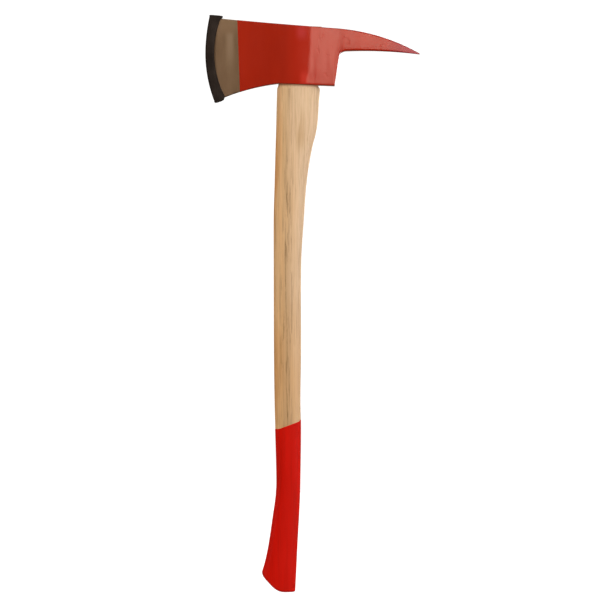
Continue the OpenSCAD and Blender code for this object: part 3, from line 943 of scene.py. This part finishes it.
def ash_grain(p, place, across, height, colour):
    """Dark grain over the wood's tones: growth rings, and streaks that crowd along the heartwood."""
    lean = p.math("SUBTRACT", across, p.times(height, 0.01))
    heart = p.times(p.patch((lean, -0.0085, 0.0125)), p.band(height, -0.05, -0.15, 0.35, 1.0))
    colour = p.blend(p.times(heart, p.band(height, -0.22, -0.34, 0.2, 0.42)), colour, (0.36, 0.22, 0.10))
    rings = p.times(p.band(p.growth_rings(place, (0.075, 0.07), 0.0034), 0.3, 0.0),
                    p.band(p.noise((150, 150, 12), 3, 0.6), 0.36, 0.60))
    colour = p.blend(p.times(rings, 0.5), colour, (0.36, 0.21, 0.09))
    lines = p.noise((440, 440, 12), 5, 0.72, place)
    breaks = p.band(p.noise((90, 90, 20), 3), 0.33, 0.56, 0.35, 1.0)
    streaks = p.times(p.band(lines, 0.505, 0.58), p.band(heart, 0, 1, 0.24, 0.95))
    colour = p.blend(p.times(streaks, breaks), colour, (0.22, 0.13, 0.058))
    dashes = p.times(p.band(p.noise((480, 480, 24), 4, 0.7, place), 0.52, 0.58, 0, 0.75),
                     p.patch((across, -0.0145, 0.0095), (height, -0.405, 0.085)))
    return p.blend(dashes, colour, (0.20, 0.115, 0.05)), lines


def handle_material():
    """Clear-coated ash with its grain along Z, and a painted shadow line, reddened by painted bounce light,
    where the head sits on the shoulder.
    """
    p = Paint("handle_ash", Specular_IOR_Level=0.3)
    drift = p.noise_node((9, 9, 2.2), 2, 0.5).outputs["Color"]
    place = p.vector("MULTIPLY_ADD", drift, (0.012, 0.012, 0), p.place)["Vector"]
    across, height = p.axis("X", place), p.axis("Z")
    colour, lines = ash_grain(p, place, across, height, ash_tones(p, place, across, height))
    fibre = p.noise((1300, 1300, 24), 3, 0.6, place)
    colour = p.blend(p.band(fibre, 0.35, 0.75, 0, 0.28), colour, (0.40, 0.24, 0.11))
    # painted shadow under the head's overhang, reddish as painted bounce light from the enamel
    below_head = p.vector("DOT_PRODUCT", p.place, SEAT_AXIS)["Value"]
    colour = p.blend(p.band(below_head, 0.0042, 0.0008, 0, 0.75), colour, (0.19, 0.07, 0.028))
    rough = p.band(fibre, 0.3, 0.7, 0.5, 0.36)
    return p.finish(Base_Color=colour, Roughness=rough, Normal=p.bump(lines, 0.06, 0.5))


def wedge_wood_material():
    """The wooden wedge: darker than the handle, dry, with its rings as fine lines."""
    p = Paint("wedge_beech", Specular_IOR_Level=0.2)
    rings = p.growth_rings(p.place, (0.02, 0.05), 0.0016)
    colour = p.ramp(rings, (0.0, (0.25, 0.13, 0.06)), (0.3, (0.42, 0.25, 0.12)), (1.0, (0.50, 0.31, 0.16)))
    fibre = p.noise((900, 900, 60), 4, 0.6)
    colour = p.blend(p.band(fibre, 0.4, 0.75, 0, 0.4), colour, (0.22, 0.12, 0.05))
    rough = p.band(fibre, 0.3, 0.7, 0.8, 0.6)
    return p.finish(Base_Color=colour, Roughness=rough, Normal=p.bump(fibre, 0.1, 0.7))


def blade_material():
    """Ground steel gone brown with oil: grinding lines along the edge, and a painted highlight as a brighter
    strip in front of the paint line.
    """
    p = Paint("ground_steel", Metallic=1.0)
    x, z = p.axis("X"), p.axis("Z")
    lines = p.noise((1600, 1600, 26), 4, 0.65)
    cloud = p.noise((34, 34, 12), 4, 0.6)
    colour = p.ramp(cloud, (0.3, (0.122, 0.088, 0.059)), (0.7, (0.154, 0.112, 0.077)))
    # painted highlight: a brighter upright strip on the bare steel, in front of the paint line
    strip = p.times(p.times(p.band(x, -0.118, -0.110), p.band(x, -0.100, -0.107)),
                    p.times(p.band(z, 0.010, 0.07), p.band(z, 0.088, 0.076)))
    colour = p.blend(p.times(strip, 0.5), colour, (0.235, 0.19, 0.145))
    colour = p.blend(p.band(z, 0.070, 0.094, 0, 0.4), colour, (0.20, 0.15, 0.105))
    stain = p.band(p.noise(240, 6, 0.7), 0.62, 0.74, 0, 0.4)
    colour = p.blend(stain, colour, (0.14, 0.08, 0.045))
    rough = p.band(lines, 0.3, 0.7, 0.38, 0.52)
    return p.finish(Base_Color=colour, Roughness=rough, Normal=p.bump(lines, 0.02, 0.6))


def wedge_steel_material():
    """Bare wedge steel, hammered and dull."""
    p = Paint("wedge_steel", Metallic=1.0)
    cloud = p.noise(300, 5, 0.65)
    colour = p.ramp(cloud, (0.3, (0.24, 0.21, 0.18)), (0.7, (0.46, 0.44, 0.42)))
    rough = p.band(cloud, 0.3, 0.7, 0.55, 0.32)
    dents = p.bump(p.noise(520, 3), 0.2, 0.6)
    return p.finish(Base_Color=colour, Roughness=rough, Normal=dents)


def rubber_material():
    """Matt black moulded rubber with a fine grain and dust."""
    p = Paint("guard_rubber", Specular_IOR_Level=0.12)
    dust = p.noise(55, 6, 0.65)
    colour = p.ramp(dust, (0.35, (0.008, 0.0050, 0.0040)), (0.75, (0.016, 0.0108, 0.0088)))
    rough = p.band(p.noise(90, 4), 0.3, 0.7, 0.5, 0.68)
    bump = p.bump(p.noise(1500, 2), 0.04, 0.5)
    bump = p.bump(p.noise((30, 30, 30), 3), 0.25, 0.3, bump)
    return p.finish(Base_Color=colour, Roughness=rough, Normal=bump)


# ---- pieces -------------------------------------------------------------------------------

def settle(piece, body, node, material):
    """Gives a piece its material and its body, and hides the CAD node that it stands for."""
    piece.data.materials.clear()
    piece.data.materials.append(material)
    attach(piece, body)
    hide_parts(node)


settle(make_steel_head(), "axe", "axe_head", blade_material())
settle(make_enamel(), "axe", "head_enamel", enamel_material())
settle(make_handle(), "axe", "handle", handle_material())
settle(make_dip(), "axe", "grip_coating", dip_material())
settle(make_kerf_wedge(), "axe", "kerf_wedge", wedge_wood_material())
wedge_steel = wedge_steel_material()
for side, node in ((-1, "steel_wedge_front"), (1, "steel_wedge_rear")):
    settle(make_steel_wedge(side, node + "_plate"), "axe", node, wedge_steel)
settle(make_guard(), "guard", "edge_guard", rubber_material())


# ---- stage --------------------------------------------------------------------------------

STAGE_REACH = 8.0        # metres from the axe to the backdrop, which goes all round it
STAGE_SIDES = 96
FLOOR_GLOW = 1.02
BACKDROP_GLOW = 1.05
VIEW_DISTANCE = 6.0
VIEW_WIDTH = 0.9525      # metres across the view at the axe
VIEW_X = 0.0024
VIEW_Z = -0.3419


def plain(name, glow):
    """A dark matt surface that glows white, so that it stays evenly pale whatever light falls on it."""
    material = bpy.data.materials.new(name)
    material.use_nodes = True
    shader = material.node_tree.nodes["Principled BSDF"]
    shader.inputs["Base Color"].default_value = (0.12, 0.12, 0.12, 1)
    shader.inputs["Roughness"].default_value = 0.9
    shader.inputs["Specular IOR Level"].default_value = 0.1
    shader.inputs["Emission Color"].default_value = (1, 1, 1, 1)
    shader.inputs["Emission Strength"].default_value = glow
    return material


def stage_piece(name, faces, glow):
    """A backdrop surface. It doesn't light the axe or show in its gloss, so the lights alone do."""
    work = bmesh.new()
    for face in faces:
        work.faces.new([work.verts.new(corner) for corner in face])
    mesh = bpy.data.meshes.new(name)
    work.to_mesh(mesh)
    work.free()
    mesh.materials.append(plain(name, glow))
    piece = new_object(name, mesh)
    piece.visible_glossy = False
    piece.visible_diffuse = False
    return piece


def make_stage():
    """A pale floor at the butt, and a pale backdrop all round it."""
    turns = np.linspace(0, 2 * math.pi, STAGE_SIDES + 1)
    low = [(STAGE_REACH * math.cos(a), STAGE_REACH * math.sin(a), cad_low.z) for a in turns]
    high = [(x, y, z + STAGE_REACH) for x, y, z in low]
    stage_piece("stage_floor", [low[:-1]], FLOOR_GLOW)
    walls = [(low[k], low[k + 1], high[k + 1], high[k]) for k in range(STAGE_SIDES)]
    stage_piece("stage_backdrop", walls, BACKDROP_GLOW).visible_shadow = False


def around(azimuth, elevation, distance, target):
    """A place seen from the target at an azimuth to the right of the camera, in degrees."""
    a, e = math.radians(azimuth), math.radians(elevation)
    direction = Vector((math.sin(a) * math.cos(e), -math.cos(a) * math.cos(e), math.sin(e)))
    return Vector(target) + distance * direction


def softbox(name, place, target, width, height, level, diffuse=True, glossy=True, colour=(1, 1, 1)):
    """An area light that faces the target. The level 1 shows a white surface at the target as white."""
    distance = (Vector(place) - Vector(target)).length
    light = bpy.data.lights.new(name, "AREA")
    light.color = colour
    light.shape = "RECTANGLE"
    light.size, light.size_y = width, height
    light.energy = level * (math.pi * distance)**2
    lamp = bpy.data.objects.new(name, light)
    lamp.location = place
    lamp.rotation_euler = (Vector(target) - Vector(place)).to_track_quat("-Z", "Y").to_euler()
    lamp.visible_camera = False
    lamp.visible_diffuse = diffuse
    lamp.visible_glossy = glossy
    bpy.context.scene.collection.objects.link(lamp)


def make_lights():
    """Tall soft lights from both sides, weaker ones behind and above, and cards that only the gloss
    shows."""
    head = Vector((0.02, 0, 0.05))
    shaft = Vector((0, 0, -0.2))
    warm = (1, 0.82, 0.66)
    softbox("key_right", around(50, 16, 1.7, shaft), shaft, 0.7, 2.4, 1.06, glossy=False)
    softbox("edge_right", around(88, 5, 2.2, shaft), shaft, 0.6, 2.2, 0.28, glossy=False)
    softbox("fill_left", around(-62, 8, 2.2, shaft), shaft, 0.8, 2.0, 0.60, glossy=False)
    softbox("card_front", around(21, 12, 3.0, head), head, 2.5, 1.7, 0.93, diffuse=False, colour=warm)
    softbox("card_strip", around(9, 12, 2.9, head), head, 0.35, 1.7, 0.09, diffuse=False, colour=warm)
    softbox("back_wide", around(180, 6, 3.0, shaft), shaft, 2.4, 2.4, 0.6, glossy=False)
    softbox("card_back", around(155, 12, 3.0, head), head, 2.0, 1.7, 1.0, diffuse=False)
    softbox("back_high", around(180, 60, 3.5, shaft), shaft, 2.5, 2.5, 0.4)
    softbox("top", around(0, 88, 3.5, shaft), shaft, 2.5, 2.5, 0.3)
    world = bpy.data.worlds.new("studio")
    world.use_nodes = True
    background = world.node_tree.nodes["Background"]
    background.inputs["Color"].default_value = (1, 0.78, 0.58, 1)
    background.inputs["Strength"].default_value = 0.32
    bpy.context.scene.world = world


def make_camera():
    """A long lens straight in front, so that the axe is seen almost without perspective."""
    data = bpy.data.cameras.new("camera")
    data.sensor_width = 36
    data.lens = data.sensor_width * VIEW_DISTANCE / VIEW_WIDTH
    data.clip_end = 100
    camera = bpy.data.objects.new("camera", data)
    camera.location = (VIEW_X, -VIEW_DISTANCE, VIEW_Z)
    camera.rotation_euler = (math.pi / 2, 0, 0)
    bpy.context.scene.collection.objects.link(camera)
    bpy.context.scene.camera = camera


make_stage()
make_lights()
make_camera()
bpy.context.scene.view_settings.view_transform = "Standard"
